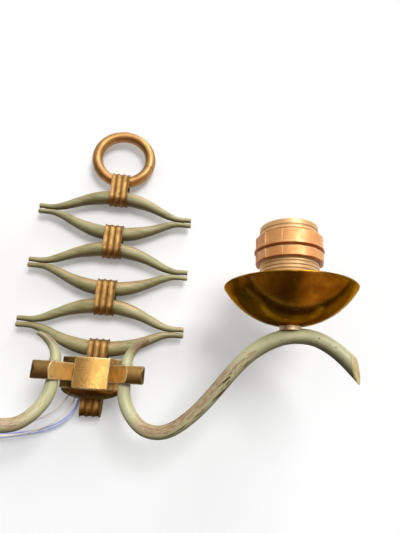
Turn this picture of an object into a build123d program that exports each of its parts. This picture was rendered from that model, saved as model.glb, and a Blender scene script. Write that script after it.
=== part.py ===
from build123d import *
import math
import os

os.makedirs("parts", exist_ok=True)

# Wall lamp with a spine of three bow-shaped lenses and two swivelling arms. Millimetres.
# Origin: on the wall plane, behind the middle of the hub. +X right, +Z up, the wall is at Y = 0
# and the lamp stands in front of it, at negative Y.

# ---------------------------------------------------------------- driving dimensions
# spine
lens_pitch = 47.0            # height from one lens to the next
lowest_lens_z = 35.0         # tips of the lowest lens above the hub's middle
lens_half_width = 63.0       # from the spine's middle to the bow tips
lens_half_height = 16.5      # bow centreline at the band, above or below the tips
bow_root_radius = 5.75       # bow rod at the band
bow_tip_radius = 1.95        # bow rod at its cut end
bow_tip_gap = 0.2            # between the two bows where they run side by side
bow_tip_splay = 0.3          # how far each bow's end turns away from its pair

# bands
band_fit = 0.05              # band to rod, front and back
band_end_room = 0.5          # band to rod, above and below, because the rods are arched
band_thickness = 1.55        # at a ridge
flute_count = 3
flute_width = 4.8
flute_depth = 0.85

# hanging ring
ring_major_radius = 23.1
ring_tube_radius = 4.5
ring_arch_room = 1.4         # ring tube to band at the middle, because the ring is round
ring_band_length = 15.6      # between the middles of the top bow and of the ring's tube

# hub
hub_height = 20.8
hub_half_width = 21.8
hub_facet_half = 11.7        # half width of the front facet
hub_depth = 14.9             # back cover to front facet
hub_wall = 2.0
hub_dome_height = 7.5
hub_dome_inset = 0.6
hub_facet_bulge = 0.5        # the front facet is slightly rounded
cover_thickness = 1.5
cover_gap = 0.2              # back cover to the strap's ridges
hub_screw_radius = 2.0
hub_screw_spacing = 8.0
hub_screw_clearance = 0.2
screw_head_radius = 3.6
screw_head_height = 2.0

# ears
ear_height = 11.6
ear_axis_x = 23.7            # vertical swivel axis
ear_axis_depth = 36.3
ear_front_depth = 46.0
ear_outer_x = 36.2
ear_inner_angle = 50.0       # inner face against the wall plane
ear_front_radius = 11.7      # the front is part of a lying cylinder
ear_back_depth = 31.5        # depth of the outer back corner
ear_corner_radius = 3.0
ear_end_radius = 1.0         # round the outer end
journal_radius = 3.9
journal_clearance = 0.05
groove_depth = 0.6
groove_height = 3.3
set_screw_radius = 1.5
set_screw_tip_gap = 0.1
set_screw_clearance = 0.05
wire_port_radius = 1.7

# arms
swing = 18.0                 # degrees forward of the wall plane, as photographed
arm_reach = 109.0            # swivel axis to lampholder axis
arm_wall = 1.35
arm_end_reach = 147.0        # swivel axis to the cut end
end_cut_turn = 27.0          # degrees the cut faces forward of square to the arm's plane
end_plug_thickness = 1.2
end_plug_spigot = 3.0
plug_clearance = 0.08

# dish and lampholder, heights above the hub's middle
washer_radius = 6.9
washer_bottom_z = 32.4
dish_bottom_z = 35.0
dish_rim_z = 59.8
dish_rim_radius = 43.7
dish_wall = 1.0
rim_bead_radius = 0.8
nipple_radius = 4.0
nipple_bore_radius = 2.7
nipple_clearance = 0.06
nipple_bottom_z = 31.0
nipple_in_cap = 6.0          # height of thread inside the cap's neck
nut_across_flats = 13.0
nut_height = 3.5
cap_bottom_z = 43.0
cap_top_z = 63.0
cap_neck_radius = 7.5
cap_neck_height = 7.0
cap_floor = 2.5
cap_wall = 2.3
cap_band = 4.5               # straight part under the skirt
skirt_radius = 19.3          # root of the outside thread
skirt_bore_radius = 17.2
skirt_top_z = 104.0
skirt_collar = 4.2           # plain collar above the thread
skirt_lip = 1.6
thread_pitch = 2.5
thread_height = 0.6
mouth_radius = 14.3
insert_radius = 16.9
insert_base = 6.0
insert_top_z = 84.0
insert_wire_hole = 2.0
insert_collar = 1.9          # wall round the screw shell
insert_clearance = 0.1
shell_inner_radius = 13.2    # E27 screw shell
shell_wall = 0.4
shell_length = 25.6
shell_floor_rim = 4.0        # width of the shell's inturned floor
contact_width = 5.0
contact_thickness = 0.5
contact_rise = 3.4           # the screw shell's floor stands clear of the contact
ring_bore_clearance = 0.35   # shade ring to thread crest
shade_ring_radius = 22.4
grip_step = 0.6
grip_count = 12
upper_ring_z = 85.5
upper_ring_height = 9.6
upper_flange_radius = 23.6
upper_flange_height = 1.5
lower_ring_z = 77.4
lower_ring_height = 6.2

# wires
wire_radius = 0.55
wire_offset = 1.2
bush_x = -11.2
bush_z = -6.0
bush_radius = 3.0
bush_bore_radius = 1.75
bush_length = 5.0
bush_clearance = 0.1
wire_pack = 0.75             # wire centres in the ear's port, off its axis
bush_pack = 0.62             # wire centres in the bush, off its axis both ways

# ---------------------------------------------------------------- worked out from them
band_inner_radius = bow_root_radius + band_fit
spine_depth = band_inner_radius + band_thickness
lens_centres = [lowest_lens_z + i * lens_pitch for i in range(3)]
cover_depth = 2 * spine_depth + cover_gap
hub_back_depth = cover_depth + cover_thickness
hub_front_depth = hub_back_depth + hub_depth
thread_crest = skirt_radius + thread_height
ring_bore = thread_crest + ring_bore_clearance


def save(solid, name):
    solid.label = name
    export_step(solid, f"parts/{name}.step")


def disc(radius, bottom, height, x=0.0, y=0.0):
    return Pos(x, y, bottom) * Cylinder(radius, height, align=(Align.CENTER, Align.CENTER, Align.MIN))


def rod_along(start, end, radius):
    axis = Vector(*end) - Vector(*start)
    return Plane(origin=start, z_dir=axis) * Cylinder(
        radius, axis.length, align=(Align.CENTER, Align.CENTER, Align.MIN)
    )


def tapered_rod(stations, shrink=0.0, sideways=0.0, leaves=None):
    """A round rod through stations of (x, z, radius) in the XZ plane.

    It leaves its first station in the direction (x, z) of leaves, or freely without one.
    """
    places = [(x, sideways, z) for x, z, _ in stations]
    if leaves:
        last_run = Vector(*places[-1]) - Vector(*places[-2])
        path = Spline(*places, tangents=[(leaves[0], 0, leaves[1]), last_run.normalized()])
    else:
        path = Spline(*places)
    steps = [math.dist(a, b) for a, b in zip(places, places[1:])]
    sections = []
    run = 0.0
    for i, (x, z, radius) in enumerate(stations):
        here = run / sum(steps)
        plane = Plane(origin=places[i], x_dir=(0, 1, 0), z_dir=path % here)
        sections.append(plane * Circle(radius - shrink))
        run += steps[i] if i < len(steps) else 0.0
    return loft(sections)


def revolved(outline):
    """A turned piece from a closed outline of (radius, height) points."""
    return revolve(make_face(Polyline(*[(r, 0, z) for r, z in outline], close=True)), Axis.Z)


# ---------------------------------------------------------------- spine: bows
def bow(sign):
    """One bow as it lies in its lens: arched up with sign +1, down with -1."""
    touch = bow_tip_gap / 2
    half = [
        (0.0, 1.0, 1.0),
        (0.14, 0.975, 0.985),
        (0.35, 0.80, 0.86),
        (0.53, 0.54, 0.67),
        (0.68, 0.285, 0.555),
    ]
    stations = [
        (x * lens_half_width, h * lens_half_height, r * bow_root_radius) for x, h, r in half
    ]
    narrow = bow_tip_radius + 0.5
    stations.append((0.80 * lens_half_width, narrow + touch, narrow))
    stations.append((0.90 * lens_half_width, bow_tip_radius + 0.2 + touch, bow_tip_radius + 0.1))
    stations.append((lens_half_width, bow_tip_radius + bow_tip_splay, bow_tip_radius))
    left = [(-x, h, r) for x, h, r in reversed(stations[1:])]
    line = [(x, sign * h, r) for x, h, r in left + stations]
    return tapered_rod(line)


lens_names = ["lower", "middle", "upper"]
for lens_name, lens_z in zip(lens_names, lens_centres):
    for bow_name, sign in (("top", 1), ("bottom", -1)):
        save(Pos(0, -spine_depth, lens_z) * bow(sign), f"{lens_name}_{bow_name}_bow")


# ---------------------------------------------------------------- spine: fluted bands
def band(low_z, high_z):
    """A fluted strip bent round the rods whose centres lie at low_z and high_z."""
    r = band_inner_radius
    y = -spine_depth
    path = Wire([
        Line((0, y - r, low_z), (0, y - r, high_z)),
        ThreePointArc((0, y - r, high_z), (0, y, high_z + r), (0, y + r, high_z)),
        Line((0, y + r, high_z), (0, y + r, low_z)),
        ThreePointArc((0, y + r, low_z), (0, y, low_z - r), (0, y - r, low_z)),
    ])
    half = flute_count * flute_width / 2
    edges = [Line((-half, 0), (-half, band_thickness))]
    for i in range(flute_count):
        a = -half + i * flute_width
        edges.append(ThreePointArc(
            (a, band_thickness),
            (a + flute_width / 2, band_thickness - flute_depth),
            (a + flute_width, band_thickness),
        ))
    edges.append(Line((half, band_thickness), (half, 0)))
    edges.append(Line((half, 0), (-half, 0)))
    start = Plane(origin=(0, y - r, low_z), x_dir=(-1, 0, 0), z_dir=(0, 0, 1))
    return sweep(start * make_face(edges), path=path)


def bow_root(lens, sign):
    return lens_centres[lens] + sign * lens_half_height


ring_room = band_inner_radius - ring_tube_radius
top_band_low = bow_root(2, 1) - band_end_room
top_band_high = bow_root(2, 1) + ring_band_length
ring_z = top_band_high + ring_room - ring_arch_room + ring_major_radius
save(band(top_band_low, top_band_high), "top_band")
save(band(bow_root(1, 1) - band_end_room, bow_root(2, -1) + band_end_room), "upper_band")
save(band(bow_root(0, 1) - band_end_room, bow_root(1, -1) + band_end_room), "middle_band")

hanging_ring = Pos(0, -spine_depth, ring_z) * Rot(90, 0, 0) * Torus(ring_major_radius, ring_tube_radius)
save(hanging_ring, "hanging_ring")

# ---------------------------------------------------------------- strap behind the hub, and its core
strap_low = -22.5
strap_high = bow_root(0, -1) + band_end_room
screw_heights = [hub_screw_spacing / 2, -hub_screw_spacing / 2]
core_front = -(spine_depth + band_inner_radius)


def screw_hole(z, radius, from_y, to_y):
    return rod_along((0, from_y, z), (0, to_y, z), radius)


strap = band(strap_low, strap_high)
core_radius = band_inner_radius - band_fit
core_top = bow_root(0, -1) - bow_root_radius - 0.3
core_width = flute_count * flute_width - 1.2
core = extrude(
    Plane.YZ * Pos(-spine_depth, (strap_low + core_top) / 2)
    * Rectangle(2 * core_radius, core_top - strap_low),
    core_width / 2, both=True,
) + rod_along(
    (-core_width / 2, -spine_depth, strap_low), (core_width / 2, -spine_depth, strap_low), core_radius
)
for z in screw_heights:
    strap -= screw_hole(z, hub_screw_radius + hub_screw_clearance, core_front + 1, -2 * spine_depth - 1)
    core -= screw_hole(z, hub_screw_radius + plug_clearance, -spine_depth + 4, -2 * spine_depth)
save(strap, "hub_strap")
save(core, "strap_core")


# ---------------------------------------------------------------- hub
def hub_outline(inset):
    """The hub seen from above: a bulged front facet between two slanted ones."""
    facet = hub_facet_half - inset * math.tan(math.radians(22.5))
    half = hub_half_width - inset
    front = hub_front_depth - inset
    slant = front - (half - facet)
    back = hub_back_depth
    return make_face([
        ThreePointArc((-facet, -front), (0, -front - hub_facet_bulge), (facet, -front)),
        Line((facet, -front), (half, -slant)),
        Line((half, -slant), (half, -back)),
        Line((half, -back), (-half, -back)),
        Line((-half, -back), (-half, -slant)),
        Line((-half, -slant), (-facet, -front)),
    ])


def hub_body(inset):
    """Drum and shallow dome together, smaller by inset on every side but the back."""
    height = hub_height - 2 * inset
    drum = extrude(Pos(0, 0, -height / 2) * hub_outline(inset), height)
    a = hub_half_width - hub_dome_inset - inset
    b = hub_depth - hub_dome_inset - inset
    c = hub_dome_height
    dome = Pos(0, -hub_back_depth, -hub_height / 2 + inset) * scale(Sphere(1), by=(a, b, c))
    keep = Pos(0, -hub_back_depth, -hub_height / 2 + inset) * Box(
        4 * a, 2 * b, 2 * c, align=(Align.CENTER, Align.MAX, Align.MAX)
    )
    return drum + (dome & keep)


hub_shell = hub_body(0.0) - hub_body(hub_wall)

ear_axis = (ear_axis_x, -ear_axis_depth)
port_end = (14.0, -(hub_front_depth - 6.0))
port = rod_along(
    (ear_axis_x, -ear_axis_depth, 0), (port_end[0], port_end[1], 0), wire_port_radius
)
hub_shell -= port
hub_shell -= mirror(port, about=Plane.YZ)
save(hub_shell, "hub_shell")

cover_face = Pos(0, -cover_depth, 0) * Rot(90, 0, 0) * Rectangle(2 * hub_half_width, hub_height)
hub_cover = extrude(cover_face, cover_thickness)
cover_dome = Pos(0, -cover_depth, -hub_height / 2) * Rot(90, 0, 0) * Ellipse(
    hub_half_width - hub_dome_inset, hub_dome_height
)
cover_tongue = extrude(cover_dome, cover_thickness)
cover_tongue &= Pos(0, -cover_depth, -hub_height / 2) * Box(
    3 * hub_half_width, 4 * cover_thickness, 3 * hub_dome_height,
    align=(Align.CENTER, Align.CENTER, Align.MAX),
)
hub_cover += cover_tongue
for z in screw_heights:
    hub_cover -= screw_hole(z, hub_screw_radius + hub_screw_clearance, 0, -hub_front_depth)
hub_cover -= rod_along((bush_x, 0, bush_z), (bush_x, -hub_front_depth, bush_z), bush_radius + bush_clearance)
save(hub_cover, "hub_back_cover")

screw_set = []
for z in screw_heights:
    shank = rod_along((0, -hub_back_depth, z), (0, -spine_depth + 3, z), hub_screw_radius)
    head = rod_along(
        (0, -hub_back_depth, z), (0, -hub_back_depth - screw_head_height, z), screw_head_radius
    )
    slot = Pos(0, -hub_back_depth - screw_head_height, z) * Box(2 * screw_head_radius, 1.6, 0.9)
    screw_set.append(shank + head - slot)
save(Compound(children=screw_set), "hub_screws")


# ---------------------------------------------------------------- ears
def right_ear():
    facet_sum = hub_facet_half + hub_front_depth
    inner_x = hub_facet_half + 0.4
    inner = (inner_x, -(facet_sum - inner_x))
    slope = math.tan(math.radians(ear_inner_angle))
    front_x = inner_x + (ear_front_depth - (facet_sum - inner_x)) / slope
    rear_x = hub_half_width
    rear = (rear_x, -(facet_sum - rear_x))
    corners = [
        inner,
        (front_x, -ear_front_depth),
        (ear_outer_x, -ear_front_depth),
        (ear_outer_x, -ear_back_depth),
        rear,
    ]
    face = make_face(Polyline(*corners, close=True))
    ear = extrude(Pos(0, 0, -ear_height / 2) * face, ear_height)
    outer = ear.edges().filter_by(Axis.Z).group_by(Axis.X)[-1]
    ear = fillet(outer, ear_corner_radius)
    lying = Pos(0, -(ear_front_depth - ear_front_radius), 0) * Rot(0, 90, 0) * Cylinder(
        ear_front_radius, 4 * ear_outer_x
    )
    behind = Pos(0, -(ear_front_depth - ear_front_radius), 0) * Box(
        4 * ear_outer_x, 4 * ear_outer_x, 2 * ear_height, align=(Align.CENTER, Align.MIN, Align.CENTER)
    )
    ear = ear & (lying + behind)
    ear = fillet(ear.faces().sort_by(Axis.X)[-1].edges().filter_by(Axis.Y), ear_end_radius)
    ear -= disc(journal_radius + journal_clearance, -ear_height, 2 * ear_height, *ear_axis)
    ear -= port
    back = set_screw_line()
    ear -= rod_along(back[0], back[1], set_screw_radius + set_screw_clearance)
    return ear


def set_screw_line():
    """From the journal's axis out through the back of the ear, square to that face."""
    angle = math.atan2(ear_back_depth - (hub_facet_half + hub_front_depth - hub_half_width),
                       ear_outer_x - hub_half_width)
    direction = (math.sin(angle), math.cos(angle))
    start = (ear_axis_x, -ear_axis_depth, 0)
    end = (ear_axis_x + 20 * direction[0], -ear_axis_depth + 20 * direction[1], 0)
    return start, end


ear = right_ear()
screw_start, screw_end = (Vector(*p) for p in set_screw_line())
screw_axis = (screw_end - screw_start).normalized()
tip_place = screw_start + screw_axis * (journal_radius - groove_depth + set_screw_tip_gap)
set_screw = rod_along(tuple(tip_place), tuple(tip_place + screw_axis * 6.0), set_screw_radius)
set_screw -= rod_along(
    tuple(tip_place + screw_axis * 4.2), tuple(tip_place + screw_axis * 6.5), set_screw_radius * 0.5
)
for side, flip in (("right", False), ("left", True)):
    save(mirror(ear, about=Plane.YZ) if flip else ear, f"{side}_ear")
    save(mirror(set_screw, about=Plane.YZ) if flip else set_screw, f"{side}_ear_set_screw")


# ---------------------------------------------------------------- right arm, in its own plane
# Heights and reaches along the arm's centreline, from the free tip to past the cut end. The
# rising part is drawn for a reach of drawn_reach and stretched to arm_reach.
drawn_reach = 109.0
arm_stations_above = [
    (0.0, ear_height / 2 + 0.6, journal_radius),
    (0.3, 10.0, 3.6),
    (3.2, 16.2, 3.1),
    (8.0, 20.8, 2.45),
    (13.9, 23.6, 1.3),
]
arm_stations_below = [
    (0.0, -ear_height / 2 - 0.4, journal_radius),
    (0.0, -9.2, 4.2),
    (0.9, -15.0, 4.25),
    (4.3, -22.3, 4.3),
    (9.3, -28.3, 4.3),
    (15.6, -32.7, 4.3),
    (23.0, -34.4, 4.3),
    (30.3, -33.6, 4.3),
    (37.0, -30.6, 4.3),
    (43.5, -26.0, 4.3),
    (49.8, -20.5, 4.35),
    (56.0, -14.0, 4.4),
    (62.6, -6.3, 4.45),
    (68.6, 1.0, 4.5),
    (74.6, 8.0, 4.6),
    (81.0, 14.6, 4.8),
    (88.2, 20.4, 4.95),
    (96.6, 25.2, 5.0),
    (106.4, 28.6, 5.0),
]
arm_stations_below = [
    (x * arm_reach / drawn_reach, z, radius) for x, z, radius in arm_stations_below
]
# Past the lampholder: (share of the way from its axis to the cut end, height, radius).
for share, z, radius in [
    (0.19, 29.3, 5.0),
    (0.43, 27.6, 5.0),
    (0.63, 23.7, 5.0),
    (0.81, 18.4, 5.0),
    (0.96, 12.6, 5.0),
    (1.11, 6.0, 5.0),
    (1.26, -0.9, 5.0),
    (1.34, -4.3, 5.0),
]:
    arm_stations_below.append((arm_reach + share * (arm_end_reach - arm_reach), z, radius))
arm_body = tapered_rod(arm_stations_below[:-1], leaves=(0, -1))


def beyond_cut(length, side):
    """What lies up to length past the slanted cut (side MIN) or short of it (side MAX)."""
    slab = Box(length, 12 * journal_radius, 4 * arm_end_reach, align=(side, Align.CENTER, Align.CENTER))
    return Pos(arm_end_reach, 0, 0) * Rot(0, 0, -end_cut_turn) * slab


arm_hollow = tapered_rod(arm_stations_below[1:], shrink=arm_wall, leaves=(0, -1))
plug_bore = tapered_rod(arm_stations_below[-6:], shrink=arm_wall + plug_clearance)
plug_cap = arm_body & beyond_cut(end_plug_thickness, Align.MIN)
end_plug = plug_cap + (plug_bore & beyond_cut(end_plug_spigot, Align.MAX))
journal = disc(journal_radius, -ear_height / 2 - 0.4, ear_height + 1.0)
journal -= disc(journal_radius + 1, -groove_height / 2, groove_height) - disc(
    journal_radius - groove_depth, -groove_height, 2 * groove_height
)
crest_hole = disc(nipple_radius + nipple_clearance, nipple_bottom_z - 1.0, 20, x=arm_reach)
journal_bore = disc(arm_stations_below[1][2] - arm_wall - 0.6, arm_stations_below[1][1] - 0.5, 11.0)
place_arm = Pos(ear_axis_x, -ear_axis_depth, 0) * Rot(0, 0, -swing)
arm_tube = arm_body - beyond_cut(arm_end_reach, Align.MIN) + journal + tapered_rod(arm_stations_above, leaves=(0, 1))
arm_tube = arm_tube - arm_hollow - crest_hole - journal_bore
arm_tube = place_arm * arm_tube - port


def both_sides(solid, name):
    """Save the right-hand piece and its mirror image on the left arm."""
    save(solid, f"right_{name}")
    save(mirror(solid, about=Plane.YZ), f"left_{name}")


both_sides(arm_tube, "arm_tube")
both_sides(place_arm * end_plug, "arm_end_plug")

# ---------------------------------------------------------------- seat, nipple and dish
holder_x = ear_axis_x + arm_reach * math.cos(math.radians(swing))
holder_y = -ear_axis_depth - arm_reach * math.sin(math.radians(swing))


def on_holder_axis(solid):
    return Pos(holder_x, holder_y, 0) * solid


dish_drop = dish_rim_z - dish_bottom_z
dish_radius = (dish_rim_radius ** 2 + dish_drop ** 2) / (2 * dish_drop)
dish_centre_z = dish_bottom_z + dish_radius
nipple_hole = nipple_radius + nipple_clearance
nut_corner = nut_across_flats / math.sqrt(3)
nut_seat_z = dish_centre_z - math.sqrt((dish_radius - dish_wall) ** 2 - nut_corner ** 2)
nipple_top_z = cap_bottom_z + nipple_in_cap

washer = on_holder_axis(
    disc(washer_radius, washer_bottom_z, dish_bottom_z - washer_bottom_z + 0.4) - disc(nipple_hole, 0, 100)
)
dish_ball = Pos(0, 0, dish_centre_z) * Sphere(dish_radius)
washer = washer - place_arm * arm_body - on_holder_axis(dish_ball)
both_sides(washer, "seat_washer")

nipple = disc(nipple_radius, nipple_bottom_z, nipple_top_z - nipple_bottom_z)
nipple -= disc(nipple_bore_radius, 0, 100)
both_sides(on_holder_axis(nipple), "threaded_nipple")

dish = dish_ball - Pos(0, 0, dish_centre_z) * Sphere(dish_radius - dish_wall)
dish &= Pos(0, 0, dish_rim_z) * Box(200, 200, 200, align=(Align.CENTER, Align.CENTER, Align.MAX))
dish += Pos(0, 0, dish_rim_z) * Torus(dish_rim_radius - rim_bead_radius, rim_bead_radius)
dish -= disc(nipple_hole, 0, 100)
both_sides(on_holder_axis(dish), "drip_dish")

nut = extrude(Pos(0, 0, nut_seat_z) * RegularPolygon(nut_across_flats / 2, 6, major_radius=False), nut_height)
nut -= disc(nipple_hole, 0, 100)
both_sides(on_holder_axis(nut), "dish_nut")

# ---------------------------------------------------------------- lampholder
cap_shoulder_z = cap_top_z - cap_band
cap_floor_z = cap_bottom_z + cap_neck_height + cap_floor
cap = revolved([
    (nipple_hole, cap_bottom_z),
    (cap_neck_radius, cap_bottom_z),
    (cap_neck_radius, cap_bottom_z + cap_neck_height),
    (skirt_radius, cap_shoulder_z),
    (skirt_radius, cap_top_z),
    (skirt_radius - cap_wall, cap_top_z),
    (skirt_radius - cap_wall, cap_shoulder_z + cap_wall / 2),
    (cap_neck_radius, cap_floor_z),
    (nipple_hole, cap_floor_z),
])
both_sides(on_holder_axis(cap), "holder_cap")

thread_top_z = skirt_top_z - skirt_collar
skirt_outline = [(skirt_bore_radius, cap_top_z), (skirt_radius, cap_top_z)]
crest_z = cap_top_z + thread_pitch
while crest_z + thread_pitch / 2 < thread_top_z:
    skirt_outline.append((skirt_radius, crest_z - 0.45 * thread_pitch))
    skirt_outline.append((thread_crest, crest_z - 0.15 * thread_pitch))
    skirt_outline.append((thread_crest, crest_z + 0.15 * thread_pitch))
    skirt_outline.append((skirt_radius, crest_z + 0.45 * thread_pitch))
    crest_z += thread_pitch
skirt_outline += [
    (skirt_radius, thread_top_z),
    (thread_crest, thread_top_z + 0.4),
    (thread_crest, skirt_top_z - 0.8),
    (thread_crest - 0.8, skirt_top_z),
    (mouth_radius, skirt_top_z),
    (mouth_radius, skirt_top_z - skirt_lip),
    (skirt_bore_radius, skirt_top_z - skirt_lip),
]
both_sides(on_holder_axis(revolved(skirt_outline)), "holder_skirt")

insert_bottom_z = cap_top_z + insert_clearance
insert_floor_z = insert_bottom_z + insert_base
shell_outer = shell_inner_radius + shell_wall
collar_bore = shell_outer + insert_clearance
insert = revolved([
    (insert_wire_hole, insert_bottom_z),
    (insert_radius, insert_bottom_z),
    (insert_radius, insert_floor_z),
    (collar_bore + insert_collar, insert_floor_z),
    (collar_bore + insert_collar, insert_top_z),
    (collar_bore, insert_top_z),
    (collar_bore, insert_floor_z),
    (insert_wire_hole, insert_floor_z),
])
both_sides(on_holder_axis(insert), "holder_insert")

shell_bottom_z = insert_floor_z + contact_rise
screw_shell = disc(shell_outer, shell_bottom_z, shell_length)
screw_shell -= disc(shell_inner_radius, shell_bottom_z + shell_wall, shell_length)
screw_shell -= disc(shell_inner_radius - shell_floor_rim, 0, 2 * skirt_top_z)
both_sides(on_holder_axis(screw_shell), "screw_shell")

tongue = Pos(0, 0, insert_floor_z) * Box(
    2 * (shell_inner_radius - 5.0), contact_width, contact_thickness,
    align=(Align.CENTER, Align.CENTER, Align.MIN),
)
spring = Pos(0, 0, insert_floor_z) * Rot(0, -18, 0) * Box(
    shell_inner_radius - 5.5, contact_width, contact_thickness,
    align=(Align.MIN, Align.CENTER, Align.MIN),
)
both_sides(on_holder_axis(tongue + Pos(-3.5, 0, 0) * spring), "centre_contact")


# ---------------------------------------------------------------- shade rings
def polar(radius, degrees):
    return radius * math.cos(math.radians(degrees)), radius * math.sin(math.radians(degrees))


def grip_face(radius):
    """A round of saw-tooth grip panels, each rising by grip_step to a square edge."""
    turn = 360 / grip_count
    edges = []
    for i in range(grip_count):
        low = polar(radius, i * turn)
        middle = polar(radius + grip_step / 2, (i + 0.5) * turn)
        high = polar(radius + grip_step, (i + 1) * turn)
        edges.append(ThreePointArc(low, middle, high))
        edges.append(Line(high, polar(radius, (i + 1) * turn)))
    return make_face(edges)


upper_ring = extrude(Pos(0, 0, upper_ring_z) * grip_face(shade_ring_radius), upper_ring_height)
upper_ring += disc(upper_flange_radius, upper_ring_z, upper_flange_height)
lower_ring = extrude(Pos(0, 0, lower_ring_z) * grip_face(shade_ring_radius), lower_ring_height)
both_sides(on_holder_axis(upper_ring - disc(ring_bore, 0, 200)), "upper_shade_ring")
both_sides(on_holder_axis(lower_ring - disc(ring_bore, 0, 200)), "lower_shade_ring")


# ---------------------------------------------------------------- wires inside the arms
def arm_wire(sideways):
    inside = [(0.0, -3.0, wire_radius)] + [(x, z, wire_radius) for x, z, _ in arm_stations_below[1:19]]
    inside.append((arm_reach - 6.0, 27.8, wire_radius))
    return tapered_rod(inside, sideways=sideways)


wire_pair = Compound(children=[arm_wire(wire_offset), arm_wire(-wire_offset)])
both_sides(place_arm * wire_pair, "arm_wires")

# ---------------------------------------------------------------- bush and the wires in the hub
bush_front_y = -hub_back_depth - 1.0
bush_rear_y = bush_front_y + bush_length
bush = rod_along((bush_x, bush_front_y, bush_z), (bush_x, bush_rear_y, bush_z), bush_radius)
bush -= rod_along((bush_x, bush_front_y - 1, bush_z), (bush_x, 0, bush_z), bush_bore_radius)
save(bush, "lead_bush")


def wire_tube(points, name):
    """A stiff wire: straight runs joined by arcs as large as the runs allow."""
    runs = [math.dist(a, b) for a, b in zip(points, points[1:])]
    radii = []
    for i in range(1, len(points) - 1):
        before = Vector(*points[i]) - Vector(*points[i - 1])
        after = Vector(*points[i + 1]) - Vector(*points[i])
        half_turn = math.radians(before.get_angle(after)) / 2
        radii.append(0.45 * min(runs[i - 1], runs[i]) / math.tan(half_turn))
    path = FilletPolyline(*points, radius=radii)
    start = Plane(origin=points[0], z_dir=Vector(*points[1]) - Vector(*points[0]))
    tube = sweep(start * Circle(wire_radius), path=path)
    section = math.pi * wire_radius ** 2
    print(name, "radii", [round(r, 1) for r in radii], "length", round(path.length, 1),
          "volume / (section x length)", round(tube.volume / (section * path.length), 4))
    return tube


# The four wires leave the bush side by side: (right or left, up or down) of its axis.
bush_places = {
    "pink_lead_upper": (-1, -1),
    "pink_lead_lower": (-1, 1),
    "blue_lead_front": (1, -1),
    "blue_lead_rear": (1, 1),
}


def in_bush(name, y):
    side, height = bush_places[name]
    return (bush_x + side * bush_pack, y, bush_z + height * bush_pack)


port_run = Vector(port_end[0] - ear_axis_x, port_end[1] + ear_axis_depth, 0)
port_start = Vector(ear_axis_x, -ear_axis_depth, 0) + port_run * 0.45
port_exit = Vector(ear_axis_x, -ear_axis_depth, 0) + port_run * 1.12
hub_wires = []
for name, (side, height) in bush_places.items():
    inner = in_bush(name, bush_front_y - 2.6)
    points = [
        (side * port_start.X, port_start.Y, height * wire_pack),
        (side * port_exit.X, port_exit.Y, height * wire_pack),
    ]
    if side > 0:
        points.append((4.0, bush_front_y - 5.0, height * 2 * wire_pack))
    points.append((inner[0] + side * 2.0, inner[1] - 2.8, inner[2] + 3.2))
    points.append(inner)
    points.append(in_bush(name, bush_rear_y))
    hub_wires.append(wire_tube(points, f"hub wire to {name}"))
save(Compound(children=hub_wires), "hub_wires")

# ---------------------------------------------------------------- the four free leads
# Each leaves the bush straight towards the wall, and turns down at its own depth.
lead_turn_y = {
    "pink_lead_upper": -7.2,
    "pink_lead_lower": -5.8,
    "blue_lead_front": -7.4,
    "blue_lead_rear": -5.4,
}
lead_routes = {
    "pink_lead_upper": [
        (-15.2, -6.4, -12.6),
        (-18.9, -7.2, -18.8),
        (-24.2, -8.0, -25.8),
        (-33.2, -8.4, -32.2),
        (-46.5, -8.6, -37.4),
        (-63.0, -8.2, -40.6),
        (-82.0, -7.4, -41.6),
        (-100.0, -7.0, -40.6),
    ],
    "pink_lead_lower": [
        (-11.2, -5.4, -12.6),
        (-12.4, -7.4, -18.6),
        (-16.4, -8.6, -25.0),
        (-22.0, -9.0, -32.4),
        (-32.0, -9.2, -38.9),
        (-46.0, -9.0, -43.4),
        (-63.0, -8.6, -45.6),
        (-80.0, -8.2, -45.0),
    ],
    "blue_lead_front": [
        (-9.4, -6.7, -13.6),
        (-10.0, -6.6, -20.4),
        (-13.6, -6.4, -28.4),
        (-21.5, -6.2, -35.0),
        (-33.5, -6.3, -39.8),
        (-49.0, -6.2, -42.6),
        (-67.0, -6.0, -43.4),
        (-84.0, -5.6, -41.8),
    ],
    "blue_lead_rear": [
        (-9.1, -4.7, -13.4),
        (-9.5, -4.5, -20.8),
        (-13.0, -4.4, -29.6),
        (-21.0, -4.5, -36.8),
        (-33.4, -4.4, -41.6),
        (-48.0, -4.2, -44.4),
        (-66.0, -4.0, -47.2),
        (-83.0, -3.8, -51.4),
    ],
}
for name, points in lead_routes.items():
    straight_out = [in_bush(name, bush_rear_y), in_bush(name, lead_turn_y[name])]
    save(wire_tube(straight_out + points, name), name)
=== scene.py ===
# %% [markdown]
# # A brass and green-lacquer wall lamp
#
# The lamp hangs from a ring on a wall. Its spine is made of bowed, tapered rods tied together by
# fluted brass bands. A faceted hub below the spine holds two swivelling arms, each with a spun
# brass dish and a lampholder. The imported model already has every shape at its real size, in
# metres, so this script gives it finishes, leads, light and a camera.

# %% Load the lamp and note its box
import bpy
import math
from mathutils import Matrix, Vector


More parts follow.
